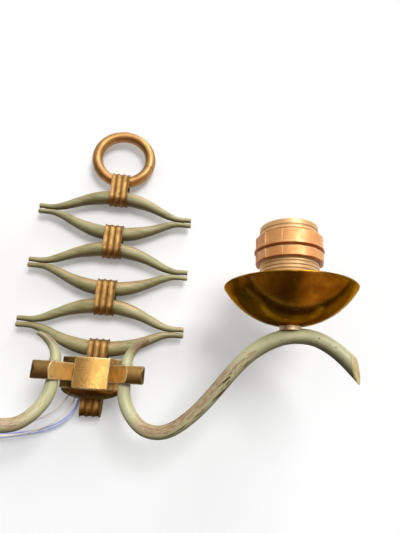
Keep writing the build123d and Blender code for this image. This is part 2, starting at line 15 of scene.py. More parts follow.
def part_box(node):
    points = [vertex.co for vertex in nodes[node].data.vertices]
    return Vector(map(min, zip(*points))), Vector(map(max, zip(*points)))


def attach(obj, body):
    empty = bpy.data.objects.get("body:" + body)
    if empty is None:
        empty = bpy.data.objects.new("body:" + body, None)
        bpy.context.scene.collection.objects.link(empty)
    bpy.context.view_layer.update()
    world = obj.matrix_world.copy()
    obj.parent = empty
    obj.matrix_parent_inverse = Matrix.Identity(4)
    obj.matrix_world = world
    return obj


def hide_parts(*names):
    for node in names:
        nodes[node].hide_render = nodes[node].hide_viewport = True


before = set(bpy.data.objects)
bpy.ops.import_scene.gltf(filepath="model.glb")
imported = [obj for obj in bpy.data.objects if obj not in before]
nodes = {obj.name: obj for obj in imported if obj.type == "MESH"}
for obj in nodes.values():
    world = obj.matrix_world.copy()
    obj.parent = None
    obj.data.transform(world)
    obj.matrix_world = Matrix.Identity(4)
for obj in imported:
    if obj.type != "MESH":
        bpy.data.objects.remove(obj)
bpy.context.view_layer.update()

MM = 0.001

# %% [markdown]
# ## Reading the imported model
#
# The origin lies on the wall plane behind the middle of the hub. +X runs to the right arm, +Y
# into the wall and +Z up. Each arm swings about an upright journal in its ear and lies in an
# upright plane through that journal. The angle of the plane could be typed in, but it is worked
# out from the axis of the lampholder, so that the wear on the arms follows the model.

# %% Where an arm starts and where it carries its lampholder
def middle(node):
    low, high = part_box(node)
    return (low + high) / 2


JOURNAL = Vector((23.7 * MM, -36.3 * MM, 0.0))
HUB_BOTTOM = -10.4 * MM
holder_axis = middle("right_threaded_nipple")
SWING = math.atan2(JOURNAL.y - holder_axis.y, holder_axis.x - JOURNAL.x)
print("arm swings forward by", round(math.degrees(SWING), 2), "degrees")

# %% [markdown]
# ## The camera
#
# The photograph was taken from close by, a little below the lampholder and right of the hub. A
# camera can be placed by eye, but so near the lamp every degree shows. Its place and its axes
# were therefore fitted to about forty points of the lamp, and lines converge as they do in the
# photograph.

# %% Camera
SENSOR_WIDTH = 36.0
FOCAL_LENGTH = 34.65
CAMERA_PLACE = Vector((39.9, -311.0, -8.04)) * MM
CAMERA_RIGHT = Vector((0.99043, -0.12644, 0.0553))
CAMERA_UP = Vector((-0.09131, -0.29994, 0.94958))
camera_data = bpy.data.cameras.new("camera")
camera_data.sensor_fit = "HORIZONTAL"
camera_data.sensor_width = SENSOR_WIDTH
camera_data.lens = FOCAL_LENGTH
camera_data.clip_start = 10 * MM
camera = bpy.data.objects.new("camera", camera_data)
bpy.context.scene.collection.objects.link(camera)
camera_back = CAMERA_RIGHT.cross(CAMERA_UP).normalized()
turn = Matrix((CAMERA_RIGHT, CAMERA_UP, camera_back)).transposed()
camera.matrix_world = Matrix.Translation(CAMERA_PLACE) @ turn.to_4x4()
bpy.context.scene.camera = camera
bpy.context.scene.view_settings.view_transform = "Standard"
print("camera at", [round(v, 3) for v in camera.location])


# %% [markdown]
# ## Colours and single nodes
#
# A material can be wired by hand in the Shader Editor, but a script can repeat and compare what
# it did. Colours are noted as a screen shows them, 0 to 255, and turned into the linear values
# that the shaders need. `put` adds one node and fills its sockets with numbers or with links,
# which keeps each material short enough to read in one go.

# %% Helpers for colours and nodes
def to_linear(level):
    """One channel of a screen colour, 0 to 255, as the linear value that a shader needs."""
    return level / 255 / 12.92 if level <= 10 else ((level / 255 + 0.055) / 1.055) ** 2.4


def paint(red, green, blue):
    return (to_linear(red), to_linear(green), to_linear(blue), 1.0)


def put(tree, kind, inputs=None, **settings):
    node = tree.nodes.new(kind)
    for name, value in settings.items():
        setattr(node, name, value)
    for key, value in (inputs or {}).items():
        if isinstance(value, bpy.types.NodeSocket):
            tree.links.new(value, node.inputs[key])
        else:
            node.inputs[key].default_value = value
    return node


print("red paint 150,60,40 is", [round(v, 3) for v in paint(150, 60, 40)])


# %% [markdown]
# ## Sums with masks
#
# A mask is a number from 0 to 1 at each point: where a finish is worn, dirty or bare. All the
# wear on this lamp is made of a few masks that are added, multiplied and given a soft or hard
# step. Short helpers for these sums read better than long chains of nodes.

# %% Helpers for masks
def maths(tree, operation, a, b=0.5, c=0.5):
    return put(tree, "ShaderNodeMath", {0: a, 1: b, 2: c}, operation=operation).outputs[0]


def plus(tree, a, b):
    return maths(tree, "ADD", a, b)


def minus(tree, a, b):
    return maths(tree, "SUBTRACT", a, b)


def larger(tree, a, b):
    return maths(tree, "MAXIMUM", a, b)


def times(tree, *values):
    product = values[0]
    for value in values[1:]:
        product = maths(tree, "MULTIPLY", product, value)
    return product


def scaled(tree, value, factor, start):
    return maths(tree, "MULTIPLY_ADD", value, factor, start)


def between(tree, value, low, high):
    """0 below low, 1 above high, with a soft step; high may be the smaller one."""
    return put(
        tree, "ShaderNodeMapRange", {0: value, 1: low, 2: high, 3: 0.0, 4: 1.0},
        interpolation_type="SMOOTHSTEP",
    ).outputs[0]


def blend(tree, factor, a, b):
    return put(tree, "ShaderNodeMix", {0: factor, 6: a, 7: b}, data_type="RGBA").outputs[2]


def cover(tree, colour, over, mask, strength=1.0):
    """Lay the colour `over` on another one where the mask is set."""
    share = mask if strength == 1.0 else times(tree, mask, strength)
    return blend(tree, share, colour, over)


print("mask helpers ready")


# %% [markdown]
# ## Patterns and coordinates
#
# Image textures would need flattened surfaces and would repeat. Noise is worked out in space, in
# the piece's own coordinates, so it runs on over every edge. Squeezing the coordinates in one
# direction draws the pattern out into streaks. Vectors are taken apart and scaled by nodes too.

# %% Helpers for patterns
def noise(tree, place, scale, detail=4.0, rough=0.55):
    inputs = {"Vector": place, "Scale": scale, "Detail": detail, "Roughness": rough}
    return put(tree, "ShaderNodeTexNoise", inputs).outputs[0]


def stretched(tree, place, along):
    """Coordinates squeezed by along, so that a pattern on them runs out into streaks."""
    return put(tree, "ShaderNodeVectorMath", {0: place, 1: along}, operation="MULTIPLY").outputs[0]


def shifted(tree, place, by):
    return put(tree, "ShaderNodeVectorMath", {0: place, 1: by}, operation="ADD").outputs[0]


def likeness(tree, a, b):
    """1 where two directions agree, 0 where they are square to each other."""
    dot = put(tree, "ShaderNodeVectorMath", {0: a, 1: b}, operation="DOT_PRODUCT")
    return dot.outputs["Value"]


def split(tree, vector):
    return put(tree, "ShaderNodeSeparateXYZ", {0: vector}).outputs


def joined(tree, x, y, z):
    return put(tree, "ShaderNodeCombineXYZ", {0: x, 1: y, 2: z}).outputs[0]


def own_normal(tree):
    return put(tree, "ShaderNodeTexCoord").outputs["Normal"]


print("pattern helpers ready")


# %% [markdown]
# ## Node groups
#
# An effect that several finishes share is built once, as a node group with named inputs and
# outputs, and then placed in each material with its own values. Copying the nodes would work too,
# but a later change would have to be made in every copy.

# %% Helpers for node groups
NUMBER, COLOUR, VECTOR = "NodeSocketFloat", "NodeSocketColor", "NodeSocketVector"


def new_group(name, inputs, outputs):
    """A node group with inputs {name: (kind, value)} and outputs {name: kind}."""
    tree = bpy.data.node_groups.new(name, "ShaderNodeTree")
    for label, (kind, value) in inputs.items():
        socket = tree.interface.new_socket(label, in_out="INPUT", socket_type=kind)
        if value is not None:
            socket.default_value = value
    for label, kind in outputs.items():
        tree.interface.new_socket(label, in_out="OUTPUT", socket_type=kind)
    start, end = tree.nodes.new("NodeGroupInput"), tree.nodes.new("NodeGroupOutput")
    return tree, start.outputs, end.inputs


def use(tree, group, **inputs):
    node = tree.nodes.new("ShaderNodeGroup")
    node.node_tree = group
    for label, value in inputs.items():
        socket = node.inputs[label.replace("_", " ")]
        if isinstance(value, bpy.types.NodeSocket):
            tree.links.new(value, socket)
        else:
            socket.default_value = value
    return node.outputs


print("group helpers ready")

# %% [markdown]
# ## Effect: edges rubbed bright, and painted edge highlights
#
# Hands and polishing cloths take the dark skin off brass where it is sharp. The mask could be
# painted by hand, or taken from Pointiness, which needs a very dense mesh. A Bevel node works on
# any mesh: it looks a fraction of a millimetre round each point and returns the normal as if the
# edge were rounded. Where that differs from the true normal, there is an edge. A little noise
# breaks the line up, because real wear is uneven. On brass and on the gold plastics, the pale
# colour laid along this mask is a painted highlight as well as wear.

# %% Node group: rubbed edges
EDGE_STARTS, EDGE_IS_FULL = 0.998, 0.955
edge_group, into, out = new_group(
    "rubbed edges",
    {"Place": (VECTOR, None), "Width": (NUMBER, 0.6 * MM), "Breakup": (NUMBER, 0.5)},
    {"Mask": NUMBER},
)
tree = edge_group
rounded = put(tree, "ShaderNodeBevel", {"Radius": into["Width"]}, samples=6).outputs[0]
true_normal = put(tree, "ShaderNodeNewGeometry").outputs["Normal"]
edge = between(tree, likeness(tree, rounded, true_normal), EDGE_STARTS, EDGE_IS_FULL)
broken = between(tree, noise(tree, into["Place"], 180.0), 0.40, 0.60)
kept = scaled(tree, broken, into["Breakup"], minus(tree, 1.0, into["Breakup"]))
tree.links.new(times(tree, edge, kept), out["Mask"])


def rubbed_edges(tree, place, width, breakup):
    return use(tree, edge_group, Place=place, Width=width, Breakup=breakup)["Mask"]


print("group:", edge_group.name)

# %% [markdown]
# ## Effect: grime and painted shade in the corners
#
# Old polish and dust stay where a cloth doesn't reach: beside the bands, between flutes and
# under screws. Shade falls in the same shut-in places, so on paint and plastic the darkening this
# mask gives is painted shade as well as grime. Ambient Occlusion measures how shut in a point is,
# so no mask has to be drawn on the pieces.

# %% Node group: grime and painted shade in corners
OPEN_ENOUGH, SHUT_IN = 0.85, 0.35
grime_and_shade_group, into, out = new_group(
    "grime and shade in corners",
    {"Place": (VECTOR, None), "Reach": (NUMBER, 4 * MM), "Amount": (NUMBER, 1.0)},
    {"Mask": NUMBER},
)
tree = grime_and_shade_group
open_air = put(tree, "ShaderNodeAmbientOcclusion", {"Distance": into["Reach"]}, samples=6)
shut_in = between(tree, open_air.outputs["AO"], OPEN_ENOUGH, SHUT_IN)
uneven = plus(tree, noise(tree, into["Place"], 260.0), 0.25)
# grime and painted shade in shut-in places
grime = maths(tree, "MINIMUM", times(tree, shut_in, uneven, into["Amount"]), 1.0)
tree.links.new(grime, out["Mask"])


def grime_and_shade_in_corners(tree, place, reach, amount):
    return use(tree, grime_and_shade_group, Place=place, Reach=reach, Amount=amount)["Mask"]


print("group:", grime_and_shade_group.name)

# %% [markdown]
# ## Effect: which way a surface faces on the piece itself
#
# Old paint is rubbed on its tops. On the arms the tops are also given a paler painted highlight,
# and on bows and arms the undersides a darker painted shade. The world's up direction would make
# such marks slide when an arm swings. The Normal output of Texture Coordinate belongs to the
# piece, so they stay in place.

# %% Node group: facing
facing_group, into, out = new_group(
    "facing",
    {"Towards": (VECTOR, (0.0, 0.0, 1.0)), "From": (NUMBER, 0.0), "To": (NUMBER, 1.0)},
    {"Mask": NUMBER},
)
tree = facing_group
faces = likeness(tree, own_normal(tree), into["Towards"])
tree.links.new(between(tree, faces, into["From"], into["To"]), out["Mask"])


def facing(tree, towards, start, full):
    """0 where a surface agrees with a direction by start, 1 where it does by full."""
    return use(tree, facing_group, Towards=towards, From=start, To=full)["Mask"]


print("group:", facing_group.name)

# %% [markdown]
# ## Effect: blotches
#
# Almost every finish here is uneven at the size of a fingertip. One group gives soft or hard
# blotches: low and high are close together for hard ones. A seed moves the pattern, so that two
# masks of one finish don't fall on the same places.

# %% Node group: blotches
blotch_group, into, out = new_group(
    "blotches",
    {
        "Place": (VECTOR, None), "Scale": (NUMBER, 90.0), "Low": (NUMBER, 0.4),
        "High": (NUMBER, 0.65), "Seed": (NUMBER, 0.0),
    },
    {"Mask": NUMBER},
)
tree = blotch_group
cloud = noise(tree, shifted(tree, into["Place"], into["Seed"]), into["Scale"], 6.0, 0.62)
tree.links.new(between(tree, cloud, into["Low"], into["High"]), out["Mask"])


def blotches(tree, place, scale, low, high, seed=0.0):
    group = use(tree, blotch_group, Place=place, Scale=scale, Low=low, High=high, Seed=seed)
    return group["Mask"]


print("group:", blotch_group.name)

# %% [markdown]
# ## Effect: brass with a skin
#
# Bare brass grows a brown skin. The group mixes a bright, a usual and a dark brass by blotches,
# lets the dark one settle in corners and the bright one show on edges, where it is rubbed brass
# and also a painted highlight. It returns colour, roughness and a fine surface height together,
# since all three change at the same places.

# %% Node group: aged brass
brass_group, into, out = new_group(
    "aged brass",
    {
        "Place": (VECTOR, None), "Bright": (COLOUR, paint(240, 200, 120)),
        "Usual": (COLOUR, paint(190, 140, 75)), "Dark": (COLOUR, paint(95, 62, 30)),
        "Tarnish": (NUMBER, 0.5), "Blotch size": (NUMBER, 110.0),
        "Edge width": (NUMBER, 0.6 * MM), "Edge wear": (NUMBER, 0.8), "Grime": (NUMBER, 1.0),
        "Smooth": (NUMBER, 0.25), "Rough": (NUMBER, 0.5),
    },
    {"Colour": COLOUR, "Roughness": NUMBER, "Height": NUMBER, "Worn_and_highlit": NUMBER},
)
tree, place, tarnish = brass_group, into["Place"], into["Tarnish"]
soft = blotches(tree, place, into["Blotch size"], 0.38, 0.68)
spots = blotches(tree, place, 900.0, 0.60, 0.70, seed=3.0)
corners = grime_and_shade_in_corners(tree, place, 4 * MM, into["Grime"])
edges = rubbed_edges(tree, place, into["Edge width"], 0.8)
skin = larger(tree, times(tree, soft, tarnish), times(tree, spots, tarnish, 0.5))
worn_and_highlit = times(tree, edges, into["Edge wear"])
colour = blend(tree, skin, into["Usual"], into["Dark"])
# bright brass along edges: rubbed wear and a painted highlight
colour = cover(tree, colour, into["Bright"], worn_and_highlit)
colour = cover(tree, colour, into["Dark"], corners)
gloss = minus(tree, larger(tree, skin, corners), worn_and_highlit)
gloss_range = {0: gloss, 1: -0.5, 2: 0.8, 3: into["Smooth"], 4: into["Rough"]}
rough = put(tree, "ShaderNodeMapRange", gloss_range).outputs[0]
fine = plus(tree, noise(tree, place, 1400.0, 3.0), times(tree, skin, 0.6))
results = {"Colour": colour, "Roughness": rough, "Height": fine, "Worn_and_highlit": worn_and_highlit}
for label, socket in results.items():
    tree.links.new(socket, out[label])
print("group:", brass_group.name, "with", len(brass_group.nodes), "nodes")


# %% [markdown]
# ## Starting a material
#
# Every material begins the same way: a Principled shader, its output and the piece's own
# coordinates in metres. `dress` hangs colour, roughness and height on that shader. No real edge
# is perfectly sharp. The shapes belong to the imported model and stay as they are, so `dress` only
# shades edges as if they were eased by a few tenths of a millimetre, which makes them catch the
# light.

# %% Helpers for materials
EASED = 0.4 * MM
FINE_BUMP = 0.02 * MM


def start_material(name, **constants):
    material = bpy.data.materials.new(name)
    material.use_nodes = True
    tree = material.node_tree
    tree.nodes.clear()
    values = {label.replace("_", " "): value for label, value in constants.items()}
    shader = put(tree, "ShaderNodeBsdfPrincipled", values)
    put(tree, "ShaderNodeOutputMaterial", {"Surface": shader.outputs[0]})
    place = put(tree, "ShaderNodeTexCoord").outputs["Object"]
    return material, tree, shader, place


def dress(tree, shader, colour, roughness, height, depth=FINE_BUMP, metal=None, round_off=EASED):
    eased = put(tree, "ShaderNodeBevel", {"Radius": round_off}, samples=6).outputs[0]
    bump = put(tree, "ShaderNodeBump", {"Height": height, "Distance": depth, "Normal": eased})
    pairs = {"Base Color": colour, "Roughness": roughness, "Normal": bump.outputs[0]}
    if metal is not None:
        pairs["Metallic"] = metal
    for label, socket in pairs.items():
        tree.links.new(socket, shader.inputs[label])


finish = {}
print("ready for finishes")


# %% [markdown]
# ## Making a brass finish
#
# All the brass here uses the "aged brass" group with its own colours and values. A finish may add
# one mask of darker brass of its own, dark skin on some pieces and painted shade on others, which
# rubbed edges cut through. An edge as narrow as a hair mirrors whatever lies behind the viewer,
# which may be dark. So rubbed edges are shaded less metallic, and stay pale from every side as a
# painted highlight.

# %% Helper for brass
WORN_AND_HIGHLIT_LOSES_METAL = 0.6


def brass(name, usual, dark, bright, darker=None, round_off=EASED, **values):
    """A brass finish. darker(tree, place) may give one more mask of darker brass: dark skin on the
    ears and the ring's seam, painted shade under the hub and on the bands.
    """
    material, tree, shader, place = start_material(name, Metallic=1.0)
    colours = {"Usual": paint(*usual), "Dark": paint(*dark), "Bright": paint(*bright)}
    brassy = use(tree, brass_group, Place=place, **colours, **values)
    colour = brassy["Colour"]
    if darker:
        unworn = minus(tree, 1.0, brassy["Worn_and_highlit"])
        colour = cover(tree, colour, paint(*dark), times(tree, darker(tree, place), unworn))
    # rubbed edges lose some metal, so they stay pale as a painted highlight
    metal = minus(tree, 1.0, times(tree, brassy["Worn_and_highlit"], WORN_AND_HIGHLIT_LOSES_METAL))
    dress(tree, shader, colour, brassy["Roughness"], brassy["Height"], FINE_BUMP, metal, round_off)
    return material


print("brass helper ready")


# %% [markdown]
# ## Where the brass is darker
#
# Each brass piece has one place of its own where it is darker. Under the hub's dome and on its
# slanted sides, and on the ends of the bands that turn down, the darker brass is painted shade,
# in blotches on the slanted sides. Outside the filed faces of the ears and along the ring's brazed
# seam it is thick skin. The masks are written from heights, directions and angles, so each of
# them stays sharp at any size.

# %% Masks of dark skin and of painted shade
SEAM_ANGLE = 0.28
TO_THE_ROOM = (0.0, -1.0, 0.0)
DOWN = (0.0, 0.0, -1.0)


# Painted shade: darker brass under the hub's dome and, in blotches, on its sides that face away from
# the room.
def under_the_dome(tree, place):
    height = split(tree, place)["Z"]
    low = between(tree, height, HUB_BOTTOM + 0.3 * MM, HUB_BOTTOM - 0.8 * MM)
    sides = facing(tree, TO_THE_ROOM, 0.9, 0.74)
    patchy = blotches(tree, place, 140.0, 0.34, 0.6)
    stained_and_shaded = times(tree, sides, scaled(tree, patchy, 0.5, 0.35))
    return larger(tree, times(tree, low, 0.9), stained_and_shaded)


def outside_the_ear(tree, place):
    side = maths(tree, "SIGN", split(tree, place)["X"])
    outward = times(tree, split(tree, own_normal(tree))["X"], side)
    filed = between(tree, outward, -0.35, -0.6)
    return times(tree, minus(tree, 1.0, filed), 0.85)


def brazed_seam(tree, place):
    """A thin dark line across the bar, where the ring was closed."""
    parts = split(tree, place)
    above = minus(tree, parts["Z"], middle("hanging_ring").z)
    angle = maths(tree, "ARCTAN2", above, parts["X"])
    wander = times(tree, noise(tree, place, 300.0), 0.05)
    off = maths(tree, "ABSOLUTE", plus(tree, plus(tree, angle, SEAM_ANGLE), wander))
    return times(tree, between(tree, off, 0.035, 0.01), 0.6)


# Painted shade: darker brass on the downward-facing parts of the bands.
def band_undersides_shade(tree, place):
    return times(tree, facing(tree, DOWN, -0.1, 0.9), 0.7)


print("masks for hub, ears, ring and bands")

# %% [markdown]
# ## Brass finishes
#
# - The bands are a pressed strip, warm and brown, with dull flutes, and painted shade on the ends
#   that turn down.
# - The hub is machined and was polished often: golden at the front, with painted shade under its
#   dome.
# - The ears are satin on the faces that were filed and brown elsewhere.
# - The ring is plain round bar, turned smooth by handling.
# - Screws, nuts and nipples are plain brass, the holder's inner parts are brighter, and the
#   washers under the dishes are pale and dull.

# %% Brass materials
finish["fluted_brass"] = brass(
    "fluted brass", (166, 128, 76), (94, 64, 32), (222, 188, 128), darker=band_undersides_shade,
    Tarnish=0.5, Blotch_size=240.0, Edge_width=0.4 * MM, Edge_wear=0.35, Grime=1.2,
    Smooth=0.42, Rough=0.62,
)
hub_brass = brass(
    "hub brass", (226, 182, 112), (118, 82, 38), (255, 244, 200), darker=under_the_dome,
    round_off=1.0 * MM, Tarnish=0.3, Blotch_size=110.0, Edge_width=1.2 * MM, Edge_wear=1.0,
    Grime=0.7, Smooth=0.15, Rough=0.4,
)
ear_brass = brass(
    "ear brass", (232, 192, 120), (76, 52, 26), (255, 244, 200), darker=outside_the_ear,
    round_off=1.0 * MM, Tarnish=0.3, Blotch_size=170.0, Edge_width=1.2 * MM, Edge_wear=1.0,
    Grime=0.5, Smooth=0.36, Rough=0.52,
)
ring_brass = brass(
    "ring brass", (176, 134, 84), (116, 78, 40), (240, 196, 120), darker=brazed_seam,
    Tarnish=0.45, Blotch_size=70.0, Edge_width=0.3 * MM, Edge_wear=0.0, Grime=1.0,
    Smooth=0.38, Rough=0.56,
)
finish["plain_brass"] = brass(
    "plain brass", (200, 160, 96), (110, 84, 44), (244, 214, 150), Tarnish=0.4,
)
finish["contact_brass"] = brass(
    "contact brass", (222, 186, 116), (150, 112, 60), (250, 226, 160), Tarnish=0.2,
)
finish["pale_brass"] = brass(
    "pale washer brass", (226, 200, 164), (150, 112, 76), (250, 236, 206),
    Tarnish=0.4, Grime=0.7, Smooth=0.4, Rough=0.6,
)
copper = brass(
    "tinned copper", (214, 150, 112), (150, 92, 62), (246, 200, 170),
    Tarnish=0.4, Smooth=0.3, Rough=0.5,
)
print("brass finishes:", sorted(finish))

# %% [markdown]
# ## The dishes: rings and clouds
#
# A spun dish carries fine rings round its axis, and its lacquer has yellowed into brown clouds.
# Stretched highlights would be the textbook way to show spinning marks, but they are not used.
# Here the rings are noise on the distance to the dish's axis, and the clouds, stains and pits are
# blotches of three sizes.

# %% Dish brass: masks
SPUN_TINT = (0.62, 0.43, 0.14, 1.0)
material, tree, shader, place = start_material("spun brass", Metallic=1.0, Specular_Tint=SPUN_TINT)
parts = split(tree, place)
from_x = minus(tree, maths(tree, "ABSOLUTE", parts["X"]), holder_axis.x)
from_y = minus(tree, parts["Y"], holder_axis.y)
radius = maths(tree, "SQRT", plus(tree, times(tree, from_x, from_x), times(tree, from_y, from_y)))
rings = noise(tree, joined(tree, radius, 0.0, 0.0), 2200.0, 2.0)
clouds = blotches(tree, place, 34.0, 0.36, 0.66)
stains = blotches(tree, place, 210.0, 0.54, 0.72, seed=7.0)
pits = blotches(tree, place, 620.0, 0.69, 0.73, seed=1.0)
rim = rubbed_edges(tree, place, 0.6 * MM, 0.5)
print("dish axis at", round(holder_axis.x, 4), round(holder_axis.y, 4))

# %% [markdown]
# ## The dishes: colour and gloss
#
# The gold turns olive in the stains, pale on the rim and nearly black in the pits. Stains are
# duller too. The last, broad noise in the height is a gentle waviness, because thin spun sheet is
# never quite even, and it bends the reflections.

# %% Dish brass: finish
DARK_GOLD, BROWN_GOLD, OLIVE_GOLD = paint(178, 130, 44), paint(116, 78, 22), paint(92, 70, 12)
PALE_RIM, PIT = paint(250, 206, 120), paint(46, 26, 10)
colour = blend(tree, clouds, DARK_GOLD, BROWN_GOLD)
colour = cover(tree, colour, OLIVE_GOLD, stains, 0.4)
colour = cover(tree, colour, PALE_RIM, rim, 0.6)
colour = cover(tree, colour, PIT, pits, 0.8)
rough = plus(tree, scaled(tree, stains, 0.16, 0.17), times(tree, rings, 0.06))
height = plus(tree, times(tree, rings, 0.5), times(tree, pits, -1.5))
waviness = times(tree, noise(tree, place, 60.0, 2.0), 16.0)
dress(tree, shader, colour, rough, plus(tree, height, waviness), 0.012 * MM)
finish["polished_brass"] = material
print("dish brass has", len(tree.nodes), "nodes")

# %% [markdown]
# ## Green lacquer on the bows: the coat
#
# The bows wear a thin sage lacquer, brushed along the rod, and their undersides are painted a
# darker olive as painted shade. It could be one colour with a noise over it, but the brush left
# streaks along the rod. So the pattern's coordinates are squeezed along X, and the painted shade
# comes from where a surface faces.

# %% Bow lacquer: sage coat
SAGE, DEEP_SAGE, BRUSH_MARK = paint(158, 156, 110), paint(126, 122, 74), paint(174, 170, 130)
BOW_UNDERSIDE_SHADE = paint(84, 72, 34)
BOW_SQUEEZE = (0.22, 1.0, 1.0)
material, tree, shader, place = start_material("bow lacquer", Coat_Weight=0.12, Coat_Roughness=0.35)
brushed = stretched(tree, place, BOW_SQUEEZE)
streaks = blotches(tree, brushed, 330.0, 0.42, 0.66)
patches = blotches(tree, brushed, 110.0, 0.40, 0.62, seed=5.0)
top = facing(tree, (0.0, -0.35, 0.94), 0.25, 0.9)
# mask for the painted shade on the undersides
below = facing(tree, (0.0, 0.1, -1.0), 0.1, 0.9)
colour = blend(tree, patches, SAGE, DEEP_SAGE)
colour = cover(tree, colour, BRUSH_MARK, streaks, 0.4)
# painted shade on the undersides
colour = cover(tree, colour, BOW_UNDERSIDE_SHADE, below, 0.9)
print("sage coat with", len(tree.nodes), "nodes")

# %% [markdown]
# ## Green lacquer on the bows: bare brass and chips
#
# The coat is thin along the tops, where warm brass shows through, most of all near the bands, at
# the cut tips and over a few worn lengths. Chips are small, hard and dark, and grime and painted
# shade sit beside the bands. The mask of bare brass also makes the surface smoother and partly
# metal.

# %% Bow lacquer: wear
BARE_BRASS, BOW_CHIP, BOW_GRIME_AND_SHADE = paint(182, 146, 100), paint(84, 66, 38), paint(74, 60, 34)
from_middle = maths(tree, "ABSOLUTE", split(tree, place)["X"])
near_band = between(tree, from_middle, 34 * MM, 8 * MM)
near_tip = between(tree, from_middle, 58 * MM, 62.5 * MM)
worn_lengths = blotches(tree, place, 26.0, 0.40, 0.60, seed=14.0)
thin = scaled(tree, near_band, 0.5, 0.5)
bare = times(tree, thin, plus(tree, top, 0.15), plus(tree, streaks, 0.4))
bare = times(tree, bare, scaled(tree, worn_lengths, 0.85, 0.4))
bare = larger(tree, bare, times(tree, near_tip, plus(tree, streaks, 0.25), 0.8))
bare = maths(tree, "MINIMUM", bare, 1.0)
chips = blotches(tree, brushed, 520.0, 0.64, 0.68, seed=2.0)
chips = times(tree, chips, plus(tree, near_band, 0.3))
colour = cover(tree, colour, BARE_BRASS, bare, 0.85)
colour = cover(tree, colour, BOW_CHIP, chips, 0.75)
# grime and painted shade beside the bands and in other shut-in places
colour = cover(tree, colour, BOW_GRIME_AND_SHADE, grime_and_shade_in_corners(tree, place, 3.5 * MM, 1.1), 0.8)
rough = minus(tree, 0.56, times(tree, bare, 0.14))
height = minus(tree, times(tree, noise(tree, brushed, 900.0), 0.5), chips)
dress(tree, shader, colour, rough, height, 0.03 * MM, times(tree, bare, 0.35))
finish["bow_lacquer"] = material
print("bow lacquer has", len(tree.nodes), "nodes")

# %% [markdown]
# ## Places along an arm: reach and streaks
#
# The wear on an arm follows its length, so its masks need a coordinate that starts at the
# journal. A UV map along the tube would give one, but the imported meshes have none. The arm lies
# in an upright plane turned by the swing angle, and this group turns the piece's coordinates into
# that plane. Reach is how far out a point is. Streak is a vector that draws patterns out along
# the tube: round the bend's centre in the lower bend, and from there straight up the rising part.
# Both arms share the group, because X enters by its size alone.

# %% Node group: along the arm
BEND_REACH, BEND_HEIGHT, BEND_RADIUS = 24.0 * MM, -9.0 * MM, 25.0 * MM
SLANT = 0.7071
STREAK_SQUEEZE, SIDE_SQUEEZE, SIDE_SEED = 0.16, 1.4, 0.37
arm_group, into, out = new_group(
    "along the arm", {"Place": (VECTOR, None)},
    {"Reach": NUMBER, "Height": NUMBER, "Streak": VECTOR, "Front": NUMBER, "Upper left": NUMBER},
)
tree = arm_group
cos_swing, sin_swing = math.cos(SWING), math.sin(SWING)
parts = split(tree, into["Place"])
side = maths(tree, "SIGN", parts["X"])
dx = minus(tree, maths(tree, "ABSOLUTE", parts["X"]), JOURNAL.x)
dy = minus(tree, parts["Y"], JOURNAL.y)
reach = minus(tree, times(tree, dx, cos_swing), times(tree, dy, sin_swing))
sideways = plus(tree, times(tree, dx, sin_swing), times(tree, dy, cos_swing))
beyond_bend = minus(tree, reach, BEND_REACH)
above_bend = minus(tree, parts["Z"], BEND_HEIGHT)
rising = times(tree, plus(tree, beyond_bend, above_bend), SLANT)
away = times(tree, minus(tree, beyond_bend, above_bend), SLANT)
before = maths(tree, "MINIMUM", rising, 0.0)
turned = times(tree, maths(tree, "ARCTAN2", before, away), BEND_RADIUS)
along = plus(tree, larger(tree, rising, 0.0), turned)
from_bend = plus(tree, times(tree, before, before), times(tree, away, away))
across = maths(tree, "SQRT", from_bend)
squeezed = times(tree, along, STREAK_SQUEEZE)
run = joined(tree, squeezed, across, times(tree, sideways, SIDE_SQUEEZE))
run = shifted(tree, run, times(tree, side, SIDE_SEED))
print("group:", arm_group.name, "with", len(tree.nodes), "nodes so far")

# %% [markdown]
# ## Places along an arm: which way it faces
#
# The same turn is given to the normal. Front is 1 where the tube faces out of its plane, to the
# room. Upper left is large where it faces up and back to the hub, and small on the lower side of
# the rising part.

# %% Node group: along the arm, facing
normal = split(tree, own_normal(tree))
outward = times(tree, normal["X"], side)
reach_part = times(tree, outward, cos_swing)
reach_normal = minus(tree, reach_part, times(tree, normal["Y"], sin_swing))
front_part = times(tree, outward, -sin_swing)
front_normal = plus(tree, front_part, times(tree, normal["Y"], -cos_swing))
upper_left = minus(tree, times(tree, normal["Z"], 0.7), times(tree, reach_normal, 0.7))
results = {
    "Reach": reach, "Height": parts["Z"], "Streak": run, "Front": front_normal,
    "Upper left": upper_left,
}
for label, socket in results.items():
    tree.links.new(socket, out[label])
print("group:", arm_group.name, "with", len(tree.nodes), "nodes")

# %% [markdown]
# ## Green lacquer on the arms: the coat
#
# The arms are paler than the bows and thicker in their coat, so they get more gloss. Their
# underside gets painted shade like that of the bows, and the top of the crest a paler painted
# highlight.

# %% Arm lacquer: pale coat
PALE_SAGE, SHADED_SAGE, SAGE_TOP_HIGHLIGHT = paint(208, 204, 158), paint(190, 190, 144), paint(222, 208, 156)
ARM_UNDERSIDE_SHADE = paint(100, 94, 56)
material, tree, shader, place = start_material("arm lacquer", Coat_Weight=0.2, Coat_Roughness=0.3)
arm = use(tree, arm_group, Place=place)
reach, height, front, streak = arm["Reach"], arm["Height"], arm["Front"], arm["Streak"]
upper_left = arm["Upper left"]
# mask for the painted shade on the underside
below = facing(tree, (0.0, 0.1, -1.0), 0.0, 0.85)
crest_top_highlight = facing(tree, (0.3, -0.3, 0.9), 0.5, 1.0)
colour = blend(tree, blotches(tree, streak, 120.0, 0.35, 0.65), PALE_SAGE, SHADED_SAGE)
colour = cover(tree, colour, ARM_UNDERSIDE_SHADE, below, 0.8)
# painted highlight on the top of the crest
colour = cover(tree, colour, SAGE_TOP_HIGHLIGHT, crest_top_highlight, 0.35)
print("pale coat with", len(tree.nodes), "nodes")


